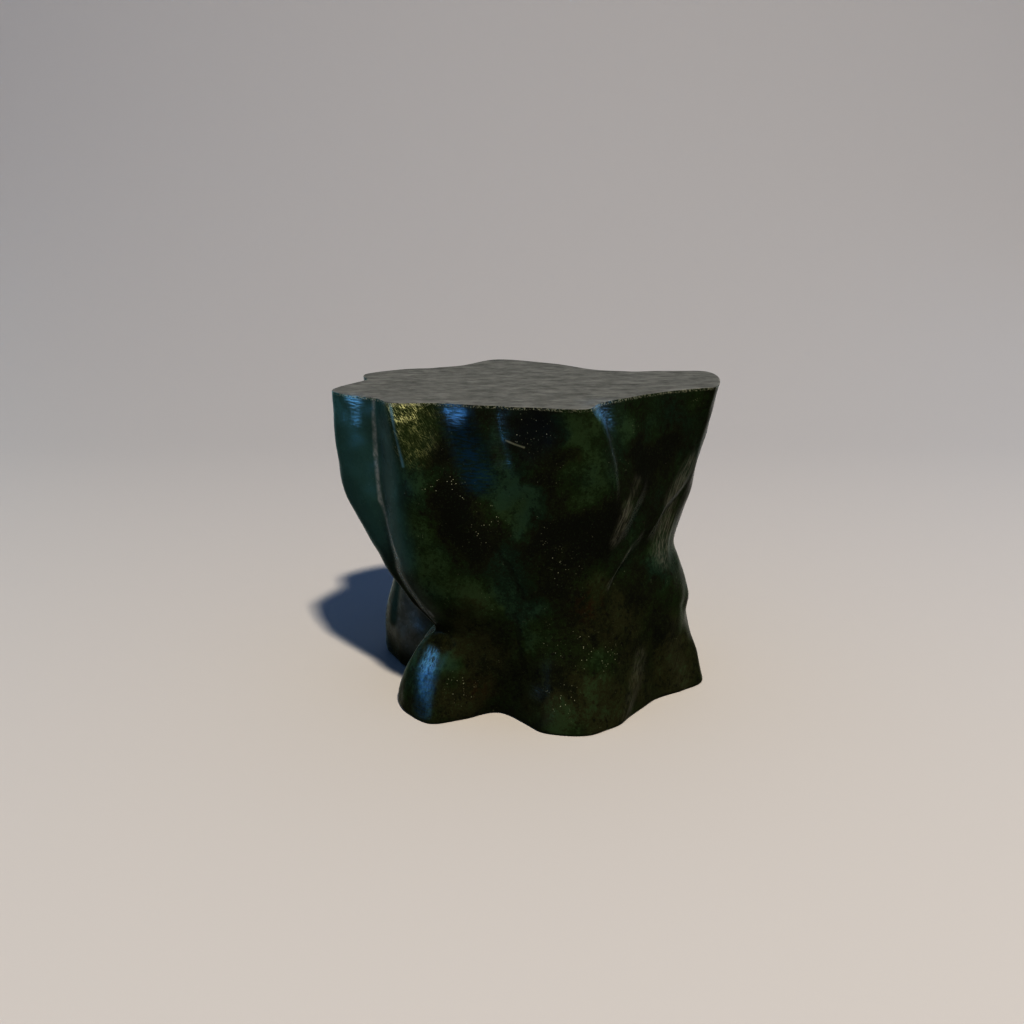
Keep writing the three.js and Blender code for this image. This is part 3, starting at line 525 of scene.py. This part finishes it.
def saw_marks(x, y):
    """Depth of the sawn top below its plane: shallow ripples along X that drift and fade, as
    sines whose phase wanders, and small pits, each its depth times exp(-near ** 2)."""
    wander = 1.3 * np.sin(0.21 * x + 0.4 * y) + 0.8 * np.sin(0.13 * x - 0.7 * y + 2)
    fade = 0.5 + 0.5 * np.sin(0.17 * x - 0.23 * y + 1) * np.sin(0.11 * x + 0.31 * y)
    ripple = 0.5 + 0.5 * np.sin(2.2 * y + wander)
    cross = 0.5 + 0.5 * np.sin(0.55 * x + 1.1 * y + 1.7 * np.sin(0.3 * y))
    depth = 0.06 * fade * ripple + 0.05 * cross
    pits = [
        (-4, -9, 0.9, 0.16), (-19, -19, 0.7, 0.12), (-23, -9, 0.6, 0.1), (1.4, -14, 1.1, 0.14),
        (12, 4, 0.8, 0.12), (-9, 12, 0.7, 0.1), (31.5, 1, 1.4, 0.25),
    ]
    for pit_x, pit_y, width, deep in pits:
        near = np.hypot((x - pit_x) / 1.8, y - pit_y) / width
        depth = depth + deep * np.exp(-near * near)
    return depth


def sawn_face(rim, rings, depth):
    """Rings of points drawn in evenly from a rim to a hub, and the hub. Each point sinks by the
    depth at its x and y, which sets in over the outer sixth of the way."""
    centre = np.array([*FACE_HUB, rim[0, 2]])
    share = np.linspace(1, 0, rings + 1)[1:-1, None, None]
    points = centre + share * (rim[None] - centre)
    points[..., 2] -= depth(points[..., 0], points[..., 1]) * np.clip(6 * (1 - share[..., 0]), 0, 1)
    hub = centre - np.array([0, 0, depth(*FACE_HUB)])
    return points.reshape(-1, 3), hub


def band_faces(first, second, columns):
    """Quads between two loops, given the number of the first point of each."""
    here = np.arange(columns)
    after = (here + 1) % columns
    return np.stack([first + here, first + after, second + after, second + here], axis=-1)


FACE_HUB = (2, 0)
SIDE_ROWS = 150
EDGE_ROWS = 5
SAWN_RIM_ROWS = 4
COLUMNS_PER_RIB = 20
TOP_RINGS = 40
BASE_RINGS = 6
columns = COLUMNS_PER_RIB * len(RIBS)
heights = np.concatenate([
    FOOT_ROUNDING * np.linspace(0, 1, EDGE_ROWS + 1)[:-1] ** 2,
    np.linspace(FOOT_ROUNDING, HEIGHT - RIM_ROUNDING, SIDE_ROWS),
    HEIGHT - RIM_ROUNDING * np.linspace(1, 0, EDGE_ROWS + 1)[1:] ** 2,
])
side = block_side(heights, COLUMNS_PER_RIB)
top_points, top_hub = sawn_face(side[-1], TOP_RINGS, saw_marks)
base_points, base_hub = sawn_face(side[0], BASE_RINGS, lambda x, y: 0 * x)
points = np.vstack([side.reshape(-1, 3), top_points, top_hub[None], base_points, base_hub[None]])

top_start = side.shape[0] * columns
base_start = top_start + len(top_points) + 1
side_loops = np.arange(side.shape[0]) * columns
top_loops = np.concatenate([side_loops[-1:], top_start + np.arange(TOP_RINGS - 1) * columns])
base_loops = np.concatenate([side_loops[:1], base_start + np.arange(BASE_RINGS - 1) * columns])
quads = [band_faces(a, b, columns) for a, b in zip(side_loops[:-1], side_loops[1:])]
quads += [band_faces(a, b, columns) for a, b in zip(top_loops[:-1], top_loops[1:])]
quads += [band_faces(b, a, columns) for a, b in zip(base_loops[:-1], base_loops[1:])]
around = np.arange(columns)
after = (around + 1) % columns
top_middle = np.full(columns, base_start - 1)
base_middle = np.full(columns, len(points) - 1)
top_fan = np.stack([top_loops[-1] + around, top_loops[-1] + after, top_middle], axis=-1)
base_fan = np.stack([base_loops[-1] + after, base_loops[-1] + around, base_middle], axis=-1)

block_mesh = bpy.data.meshes.new("jade_block")
faces = np.vstack(quads).tolist() + top_fan.tolist() + base_fan.tolist()
block_mesh.from_pydata((points / MILLIMETRES_PER_METRE).tolist(), [], faces)
block_mesh.polygons.foreach_set("use_smooth", np.ones(len(faces), bool))

# The clouds and masks are laid on the mesh as layers, one value to a point, for the material to
# read. The sawn layer is 1 on both flat faces and on the rim's last rows.
sawn = np.zeros(len(points))
sawn[top_start - SAWN_RIM_ROWS * columns:] = 1
layers = {"sawn": sawn, "tone": np.zeros(len(points)), "hue": np.zeros(len(points))}
moved = stirred(points)
for x, y, z, radius, lighter, warmer in CLOUDS:
    cloud = stroke(moved, 1.5 * radius, [(x, y, z)])
    layers["tone"] += 0.9 * lighter * cloud
    layers["hue"] += 1.2 * warmer * cloud
for name, strokes in MASKS.items():
    values = sum(strength * stroke(points, radius, path) for strength, radius, path in strokes)
    layers[name] = np.clip(values, 0, 1)
for name, values in layers.items():
    block_mesh.attributes.new(name, "FLOAT", "POINT").data.foreach_set("value", values)
block = bpy.data.objects.new("jade_block", block_mesh)
bpy.context.scene.collection.objects.link(block)


class Wire:
    """A shader value. Sums, differences and products of wires add Math nodes to their tree."""

    def __init__(self, tree, socket=None):
        self.tree = tree
        self.socket = socket

    def node(self, kind, settings, values, output=0):
        """Add a node of one type: its settings first, then a value or a wire for each of its
        sockets, and give back one of its outputs."""
        made = self.tree.nodes.new("ShaderNode" + kind)
        for name, value in settings.items():
            setattr(made, name, value)
        for name, value in values.items():
            if isinstance(value, Wire):
                self.tree.links.new(value.socket, made.inputs[name])
            else:
                made.inputs[name].default_value = value
        return Wire(self.tree, made.outputs[output] if made.outputs else None)

    def maths(self, operation, first, second, clamp=False):
        settings = {"operation": operation, "use_clamp": clamp}
        return self.node("Math", settings, {0: first, 1: second})

    def __add__(self, other):
        return self.maths("ADD", self, other)

    def __radd__(self, other):
        return self.maths("ADD", other, self)

    def __sub__(self, other):
        return self.maths("SUBTRACT", self, other)

    def __rsub__(self, other):
        return self.maths("SUBTRACT", other, self)

    def __mul__(self, other):
        return self.maths("MULTIPLY", self, other)

    def __rmul__(self, other):
        return self.maths("MULTIPLY", other, self)

    def clamped(self):
        """The same, kept from 0 to 1."""
        return self.maths("MULTIPLY", self, 1, True)

    def ramp(self, low, high):
        """0 on low's side, 1 on high's side, and a smooth step between. High may be the smaller."""
        settings = {"interpolation_type": "SMOOTHSTEP"}
        return self.node("MapRange", settings, {0: self, 1: low, 2: high, 3: 0, 4: 1})


# The colours of the stone, of the wear on it and of the light painted on it, as linear red, green
# and blue.
JADE_BLACK = (0.0155, 0.0160, 0.0105)
JADE_DEEP = (0.0200, 0.0215, 0.0115)
JADE_TEAL = (0.0190, 0.0320, 0.0200)
JADE_GREEN = (0.0230, 0.0350, 0.0135)
JADE_OLIVE = (0.0360, 0.0360, 0.0170)
JADE_PALE = (0.0440, 0.0680, 0.0330)
JADE_MINT = (0.0370, 0.0650, 0.0380)
JADE_RUST = (0.0520, 0.0270, 0.0110)
PANEL_TEAL_AND_SKY_SHEEN = (0.0440, 0.0920, 0.0790)
FOLD_FLOOR_REFLECTION = (0.1300, 0.1270, 0.1000)
ROOT_FLOOR_REFLECTION = (0.1150, 0.1120, 0.0820)
DARK_BLUE_SHEEN = (0.0100, 0.0140, 0.0190)
FLUTE_SKY_REFLECTION = (0.0140, 0.0390, 0.0620)
FACET_OLIVE = (0.0300, 0.0430, 0.0150)
FACET_GLINT_GOLD = (0.4600, 0.4500, 0.2400)
VALLEY_FLOOR_REFLECTION = (0.2100, 0.2100, 0.1900)
ARRIS_HIGHLIGHT_BLUE = (0.1300, 0.2400, 0.3000)
SPECK_AND_GLINT_WHITE = (0.3000, 0.3000, 0.2200)
SAWN_DARK = (0.1300, 0.1320, 0.1180)
SAWN_PALE = (0.2450, 0.2450, 0.2200)

# Every node of the material is made from a first wire with no socket of its own. The patterns
# read the place on the block in millimetres.
jade = bpy.data.materials.new("polished_jade")
jade.use_nodes = True
jade.node_tree.nodes.clear()
start = Wire(jade.node_tree)
place = start.node("VectorMath", {"operation": "SCALE"}, {
    0: start.node("TexCoord", {}, {}, "Object"),
    "Scale": MILLIMETRES_PER_METRE,
})


def noise(scale, detail=2, rough=0.5, vector=place, output=0):
    """Cloudy noise about 0.5. Its scale is how many bumps fit into one unit of its vector."""
    values = {"Vector": vector, "Scale": scale, "Detail": detail, "Roughness": rough}
    return start.node("TexNoise", {}, values, output)


def drawn_out(turn, size):
    """The place in millimetres, turned and then divided by a size along each of its own axes,
    for marks that run one way."""
    values = {"Vector": place, "Rotation": turn, "Scale": size}
    return start.node("Mapping", {"vector_type": "TEXTURE"}, values)


def layer(name):
    """A layer of the mesh."""
    return start.node("Attribute", {"attribute_name": name}, {}, "Fac")


def beside(first, second, radius, vector=place):
    """1 on the line between two points in the stone, falling smoothly to 0 at a radius."""
    line = [b - a for a, b in zip(first, second)]
    scaled = [part / sum(part * part for part in line) for part in line]
    offset = start.node("VectorMath", {"operation": "SUBTRACT"}, {0: vector, 1: first})
    share = start.node("VectorMath", {"operation": "DOT_PRODUCT"}, {0: offset, 1: scaled}, "Value")
    reach = start.node("VectorMath", {"operation": "SCALE"}, {0: line, "Scale": share.clamped()})
    away = start.node("VectorMath", {"operation": "DISTANCE"}, {0: offset, 1: reach}, "Value")
    return away.ramp(radius, 0.15 * radius)


def traced(strokes, vector=place):
    """1 on some paths of straight lines through the stone, each given as a radius and a path, and
    0 away from them."""
    total = 0
    for radius, path in strokes:
        for first, second in zip(path[:-1], path[1:]):
            total = total + beside(first, second, radius, vector)
    return total.clamped()


def blend(share, first, second):
    """The first colour where the share is 0, and the second where it is 1."""
    settings = {"data_type": "RGBA", "blend_type": "MIX"}
    first, second = (c if isinstance(c, Wire) else (*c, 1) for c in (first, second))
    return start.node("Mix", settings, {0: share, 6: first, 7: second}, 2)


# The stone's own colour. Tone takes it from black up to pale, and hue from teal through green to
# olive, which gains towards the base. Over it lie fine pale flecks and rust in two places, then
# painted light: the teal of the left panel, partly the stone's own and partly a painted reflection
# of the sky, a painted dark blue sheen under the front edge, and a faint painted reflection of the
# floor beside the valley.
tone = layer("tone") + 1.1 * noise(0.13, 4, 0.55) + 0.7 * noise(0.5, 3, 0.6) - 0.46
hue = layer("hue") + 3 * noise(0.1, 3, 0.5) - 1.5
spots = noise(0.9, 3, 0.6).ramp(0.58, 0.66) + 0.7 * noise(2.2, 2, 0.6).ramp(0.6, 0.68)
grain = noise(4.5, 2, 0.6)
tone = tone - 0.3 * spots + 0.6 * grain + 0.8 * noise(1.5, 3, 0.65) - 0.56
level = start.node("SeparateXYZ", {}, {0: place}, "Z")
hue = hue + 0.55 - 0.85 * level.ramp(6, 32)
hued = blend(hue.ramp(-0.9, 0.1), JADE_TEAL, JADE_GREEN)
hued = blend(hue.ramp(0, 1), hued, JADE_OLIVE)
body = blend(tone.ramp(0.1, 0.4), JADE_BLACK, JADE_DEEP)
body = blend(tone.ramp(0.34, 0.8), body, hued)
pale = blend(hue.ramp(-0.9, 0), JADE_MINT, JADE_PALE)
body = blend(0.75 * tone.ramp(0.75, 1.15), body, pale)
body = blend(0.34 * noise(3, 3, 0.7).ramp(0.54, 0.68), body, pale)
body = blend(0.6 * layer("rust") * noise(0.9, 3, 0.6).ramp(0.4, 0.65), body, JADE_RUST)
# Painted sky reflection: the left panel turns teal, partly its own colour and partly painted sky; on
# the root streak and beside the foot the teal is painted reflection alone.
panel = layer("panel")
body = blend(0.8 * panel, body, PANEL_TEAL_AND_SKY_SHEEN)
# Painted dark blue sheen over the dark stone under the front edge.
body = blend(0.5 * layer("dark_blue_sheen"), body, DARK_BLUE_SHEEN)
# Painted faint reflection of the lit floor on the strip beside the valley.
body = blend(0.17 * layer("valley_sheen"), body, VALLEY_FLOOR_REFLECTION)

# The root behind the left foot is painted a pale olive grey, a painted reflection of the lit floor,
# which fades out over its lowest 7 mm and is kept off one streak down it.
mottle = noise(0.45, 3, 0.6).ramp(0.35, 0.6)
root_reflection = layer("root_reflection") * level.ramp(1, 7) * (0.7 + 0.3 * mottle)
body = blend(root_reflection, body, ROOT_FLOOR_REFLECTION)

# Pale specks in loose groups: dust and tiny crystals in open pits.
speck_cells = start.node("TexVoronoi", {}, {"Vector": place, "Scale": 2.1}, "Distance")
speck_groups = 0.5 * noise(0.3, 2, 0.5).ramp(0.54, 0.68) + 1.4 * layer("dust")
speck_groups = speck_groups * noise(1.1, 2, 0.6).ramp(0.52, 0.62)
specks = (1 - speck_cells.ramp(0.1, 0.3)) * speck_groups.clamped()
body = blend(0.8 * specks, body, SPECK_AND_GLINT_WHITE)

# Hairline cracks along lines in the stone, made to wander a little.
shaken = start.node("VectorMath", {"operation": "ADD"}, {
    0: place,
    1: start.node("VectorMath", {"operation": "SCALE"}, {
        0: start.node("VectorMath", {"operation": "SUBTRACT"}, {
            0: noise(0.8, 3, 0.6, output="Color"),
            1: (0.5, 0.5, 0.5),
        }),
        "Scale": 2,
    }),
})
cracks = traced([
    (0.7, [(-6.5, -26.7, 32.8), (-3.9, -26.5, 29), (-1.9, -26.1, 24)]),
    (0.8, [(-3.6, -26, 20.9), (-2.7, -25.8, 18), (-2.4, -25.4, 14.3), (-1.7, -24.8, 9.9)]),
], shaken)
body = blend(0.6 * cracks, body, JADE_BLACK)

# Wear on the stone, and light painted on it: the scratched facet beside the arris, with painted
# glints of the warm lamp in its scratches, a painted pale reflection of the floor down the valley
# to its left, a scratch under the front edge, a painted blue highlight along the arris and the
# chipped rim with painted white glints along it.
facet = layer("facet")
slant_marks = noise(1, 3, 0.7, drawn_out((0, -0.52, 0), (0.15, 0.6, 1.1)))
cross_marks = noise(1, 3, 0.7, drawn_out((0, -1.05, 0), (0.18, 0.6, 0.9)))
# Painted glints: the warm lamp caught in the facet's scratches, brightest at its top corner.
facet_glints = facet * (slant_marks.ramp(0.5, 0.58) + 0.7 * cross_marks.ramp(0.52, 0.6))
facet_glints = facet_glints * (0.3 + 0.9 * noise(0.7, 2, 0.6).ramp(0.42, 0.6))
body = blend(0.75 * facet, body, FACET_OLIVE)
body = blend(0.6 * facet_glints * (0.35 + 2 * layer("glint_corner")), body, FACET_GLINT_GOLD)
valley = traced([
    (0.8, [(-26.9, -18.2, 57), (-27.3, -17.7, 47), (-26.6, -18, 39.1), (-24.3, -20.3, 31.1)]),
    (0.7, [(-24.3, -20.3, 31.1), (-17.7, -22.3, 19.3)]),
])
# Painted pale reflection of the floor along the valley.
body = blend((0.35 + 0.4 * noise(0.7, 3, 0.7).ramp(0.4, 0.6)) * valley, body, VALLEY_FLOOR_REFLECTION)
scratch = beside((-4.9, -26.3, 51.3), (-1.9, -27.2, 50.4), 0.3)
body = blend(0.48 * scratch, body, SPECK_AND_GLINT_WHITE)
# Painted blue highlight along the arris.
arris = beside((-23.9, -23.2, 57), (-21.8, -23.8, 46.5), 0.5)
body = blend(0.5 * arris, body, ARRIS_HIGHLIGHT_BLUE)
# Painted white glints along the chipped rim; the chips themselves are in the relief.
rim = level.ramp(56.3, 56.6) * noise(3.2, 3, 0.7).ramp(0.46, 0.6)
body = blend(0.75 * rim, body, SPECK_AND_GLINT_WHITE)

# Marks from grinding: level ripples in the flutes, upright scratches on the left foot, and fibres
# along the right-hand folds. The blue in the first flute and low on the left foot is a painted
# reflection of the sky, broken up by the ripples, and the pale beige along the folds is a painted
# reflection of the lit floor, drawn out along the fibres.
flutes = layer("flutes")
foot = layer("foot")
folds = layer("folds")
ripples = noise(1, 3, 0.6, drawn_out((0, 0, 0), (1.6, 1.6, 0.32)))
upright = noise(1, 3, 0.6, drawn_out((0, 0.2, 0), (0.35, 0.35, 1.1)))
fibres = noise(1, 3, 0.6, drawn_out((-0.43, 0.37, 0), (0.3, 0.3, 3)))
# Painted reflection of the sky in the first flute and low on the left foot, broken up by the ripples.
body = blend(layer("sky_reflection") * (0.3 + 0.6 * ripples.ramp(0.42, 0.58)), body, FLUTE_SKY_REFLECTION)
# Painted reflection of the lit floor along the right-hand folds, streaked along the fibres.
fold_reflection_streaks = folds * (0.15 + 0.85 * fibres.ramp(0.4, 0.62))
body = blend(0.7 * fold_reflection_streaks, body, FOLD_FLOOR_REFLECTION)

# The sawn top is matt and dry, so its colour is paler, and it is stained along the ripples.
sawn_mask = layer("sawn").ramp(0.2, 0.9)
stain = 0.4 * noise(1, 4, 0.7, drawn_out((0, 0, 0.06), (7, 2, 1)))
stain = stain + 0.28 * noise(1, 3, 0.7, drawn_out((0, 0, -0.12), (2.6, 0.8, 1)))
stain = stain + 0.32 * noise(0.3, 4, 0.7)
sawn_colour = blend(stain.ramp(0.35, 0.65), SAWN_DARK, SAWN_PALE)
colour = blend(sawn_mask, body, sawn_colour)

# How the marks stand out or cut in, in millimetres, and how rough they leave the polish. A fine
# grain runs all over.
relief = (0.012 + 0.09 * flutes) * ripples + 0.16 * foot * upright + 0.06 * folds * fibres
relief = relief + 0.05 * facet * (slant_marks + cross_marks) + 0.005 * grain - 0.02 * specks
relief = relief + 0.08 * rim - 0.08 * cracks
dents = noise(1, 3, 0.6, drawn_out((0, 0, 0.1), (2.6, 0.5, 1)))
saw_relief = 0.1 * stain + 0.16 * dents.ramp(0.35, 0.6) + 0.03 * grain
height = relief * (1 - sawn_mask) + saw_relief * sawn_mask
bump_values = {"Strength": 1, "Distance": 1 / MILLIMETRES_PER_METRE, "Height": height}
normal = start.node("Bump", {}, bump_values, "Normal")

dullness = 0.2 + 0.14 * noise(0.5, 3, 0.6) + 0.14 * facet + 0.08 * flutes + 0.12 * foot
dullness = dullness + 0.15 * folds + 0.25 * rim
roughness = dullness * (1 - sawn_mask) + 0.75 * sawn_mask


def polish(specular):
    """The stone with a gloss of one strength."""
    return start.node("BsdfPrincipled", {}, {
        "Base Color": colour,
        "Roughness": roughness,
        "Specular IOR Level": specular,
        "Normal": normal,
    })


# The polish is brightest in the flutes, on the left foot and at grazing angles. A thin film of
# dust dulls it on the rest of the side, and the sawn top has almost none.
grazing = start.node("LayerWeight", {}, {"Blend": 0.5}, "Facing").ramp(0.56, 0.95)
shine = flutes * (0.35 + 0.65 * ripples.ramp(0.42, 0.56))
shine = shine + foot * (0.06 + 0.66 * upright.ramp(0.32, 0.66))
shine = shine + 0.06 * panel + 0.03 * folds + 0.8 * grazing * (1 - sawn_mask) + 0.35 * root_reflection
shine = shine + 0.05 * (1 - layer("still"))
surface = start.node("MixShader", {}, {0: shine.clamped(), 1: polish(0), 2: polish(0.55)})
start.node("OutputMaterial", {}, {"Surface": surface})
block_mesh.materials.append(jade)

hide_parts("jade_stump")
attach(block, "root")

# The floor is plain, pale and matt. Behind the block it curves up as a studio backdrop does.
FLOOR_FRONT = -1.2
SWEEP_START = 0.2
SWEEP_RADIUS = 0.8
SWEEP_TURN = 80
FLOOR_HALF_WIDTH = 1.5
FLOOR_COLOUR = (0.56, 0.53, 0.485)

turn = np.linspace(0, math.radians(SWEEP_TURN), 60)
sweep_y = np.concatenate([[FLOOR_FRONT, -0.3, 0], SWEEP_START + SWEEP_RADIUS * np.sin(turn)])
sweep_z = np.concatenate([[0, 0, 0], SWEEP_RADIUS * (1 - np.cos(turn))])
floor_sides = (-FLOOR_HALF_WIDTH, FLOOR_HALF_WIDTH)
floor_points = [(x, y, z) for y, z in zip(sweep_y, sweep_z) for x in floor_sides]
floor_faces = [(2 * k, 2 * k + 1, 2 * k + 3, 2 * k + 2) for k in range(len(sweep_y) - 1)]
floor_mesh = bpy.data.meshes.new("floor")
floor_mesh.from_pydata(floor_points, [], floor_faces)
floor_mesh.polygons.foreach_set("use_smooth", np.ones(len(floor_faces), bool))
floor = bpy.data.objects.new("floor", floor_mesh)
bpy.context.scene.collection.objects.link(floor)
paint = bpy.data.materials.new("floor_paint")
paint.use_nodes = True
paint_shader = paint.node_tree.nodes["Principled BSDF"]
paint_shader.inputs["Base Color"].default_value = (*FLOOR_COLOUR, 1)
paint_shader.inputs["Roughness"].default_value = 0.85
paint_shader.inputs["Specular IOR Level"].default_value = 0.05
floor_mesh.materials.append(paint)

# A small warm lamp stands high in front, a little to the right. The three cool windows are only
# there for the polish to reflect, and the two fills behind light only the stone, with no gloss.
# Each has its azimuth from the front, to the right, and its elevation in degrees, its distance
# from the origin, width and height in metres, its power in watts, its tint, and what it is for.
LAMPS = [
    ("warm_lamp", 16, 53, 1.5, 0.09, 0.09, 17, (1.0, 0.915, 0.8), "room"),
    ("left_window", -58, 7.5, 0.7, 0.8, 0.15, 10, (0.20, 0.52, 1.0), "gloss"),
    ("side_window", -116, 9, 0.7, 0.5, 0.2, 3, (0.28, 0.70, 0.9), "gloss"),
    ("back_window", 126, 24, 0.6, 0.46, 0.16, 1.8, (0.26, 0.58, 1.0), "gloss"),
    ("right_fill", 145, 7, 0.45, 0.4, 0.07, 2.2, (1.0, 0.97, 0.92), "stone"),
    ("left_fill", -145, 7, 0.45, 0.4, 0.07, 2.2, (1.0, 0.97, 0.92), "stone"),
]
stone_only = bpy.data.collections.new("stone_only")
stone_only.objects.link(block)
for name, azimuth, elevation, distance, wide, high, power, tint, reach in LAMPS:
    light = bpy.data.lights.new(name, "AREA")
    light.shape = "RECTANGLE"
    light.size = wide
    light.size_y = high
    light.energy = power
    light.color = tint
    lamp = bpy.data.objects.new(name, light)
    round_block, up = math.radians(azimuth), math.radians(elevation)
    level_distance = distance * math.cos(up)
    lamp.location.x = level_distance * math.sin(round_block)
    lamp.location.y = -level_distance * math.cos(round_block)
    lamp.location.z = distance * math.sin(up)
    lamp.rotation_euler = (math.pi / 2 - up, 0, round_block)
    lamp.visible_camera = False
    lamp.visible_diffuse = reach != "gloss"
    lamp.visible_glossy = reach != "stone"
    if reach == "stone":
        lamp.light_linking.receiver_collection = stone_only
    bpy.context.scene.collection.objects.link(lamp)

# The rest of the room is a dim blue, as in evening light from the sky, and the picture has strong
# contrast.
ROOM_BLUE = (0.078, 0.125, 0.225)
world = bpy.data.worlds.new("room")
world.use_nodes = True
bpy.context.scene.world = world
world.node_tree.nodes["Background"].inputs["Color"].default_value = (*ROOM_BLUE, 1)
bpy.context.scene.view_settings.view_transform = "Standard"
bpy.context.scene.view_settings.look = "Very High Contrast"
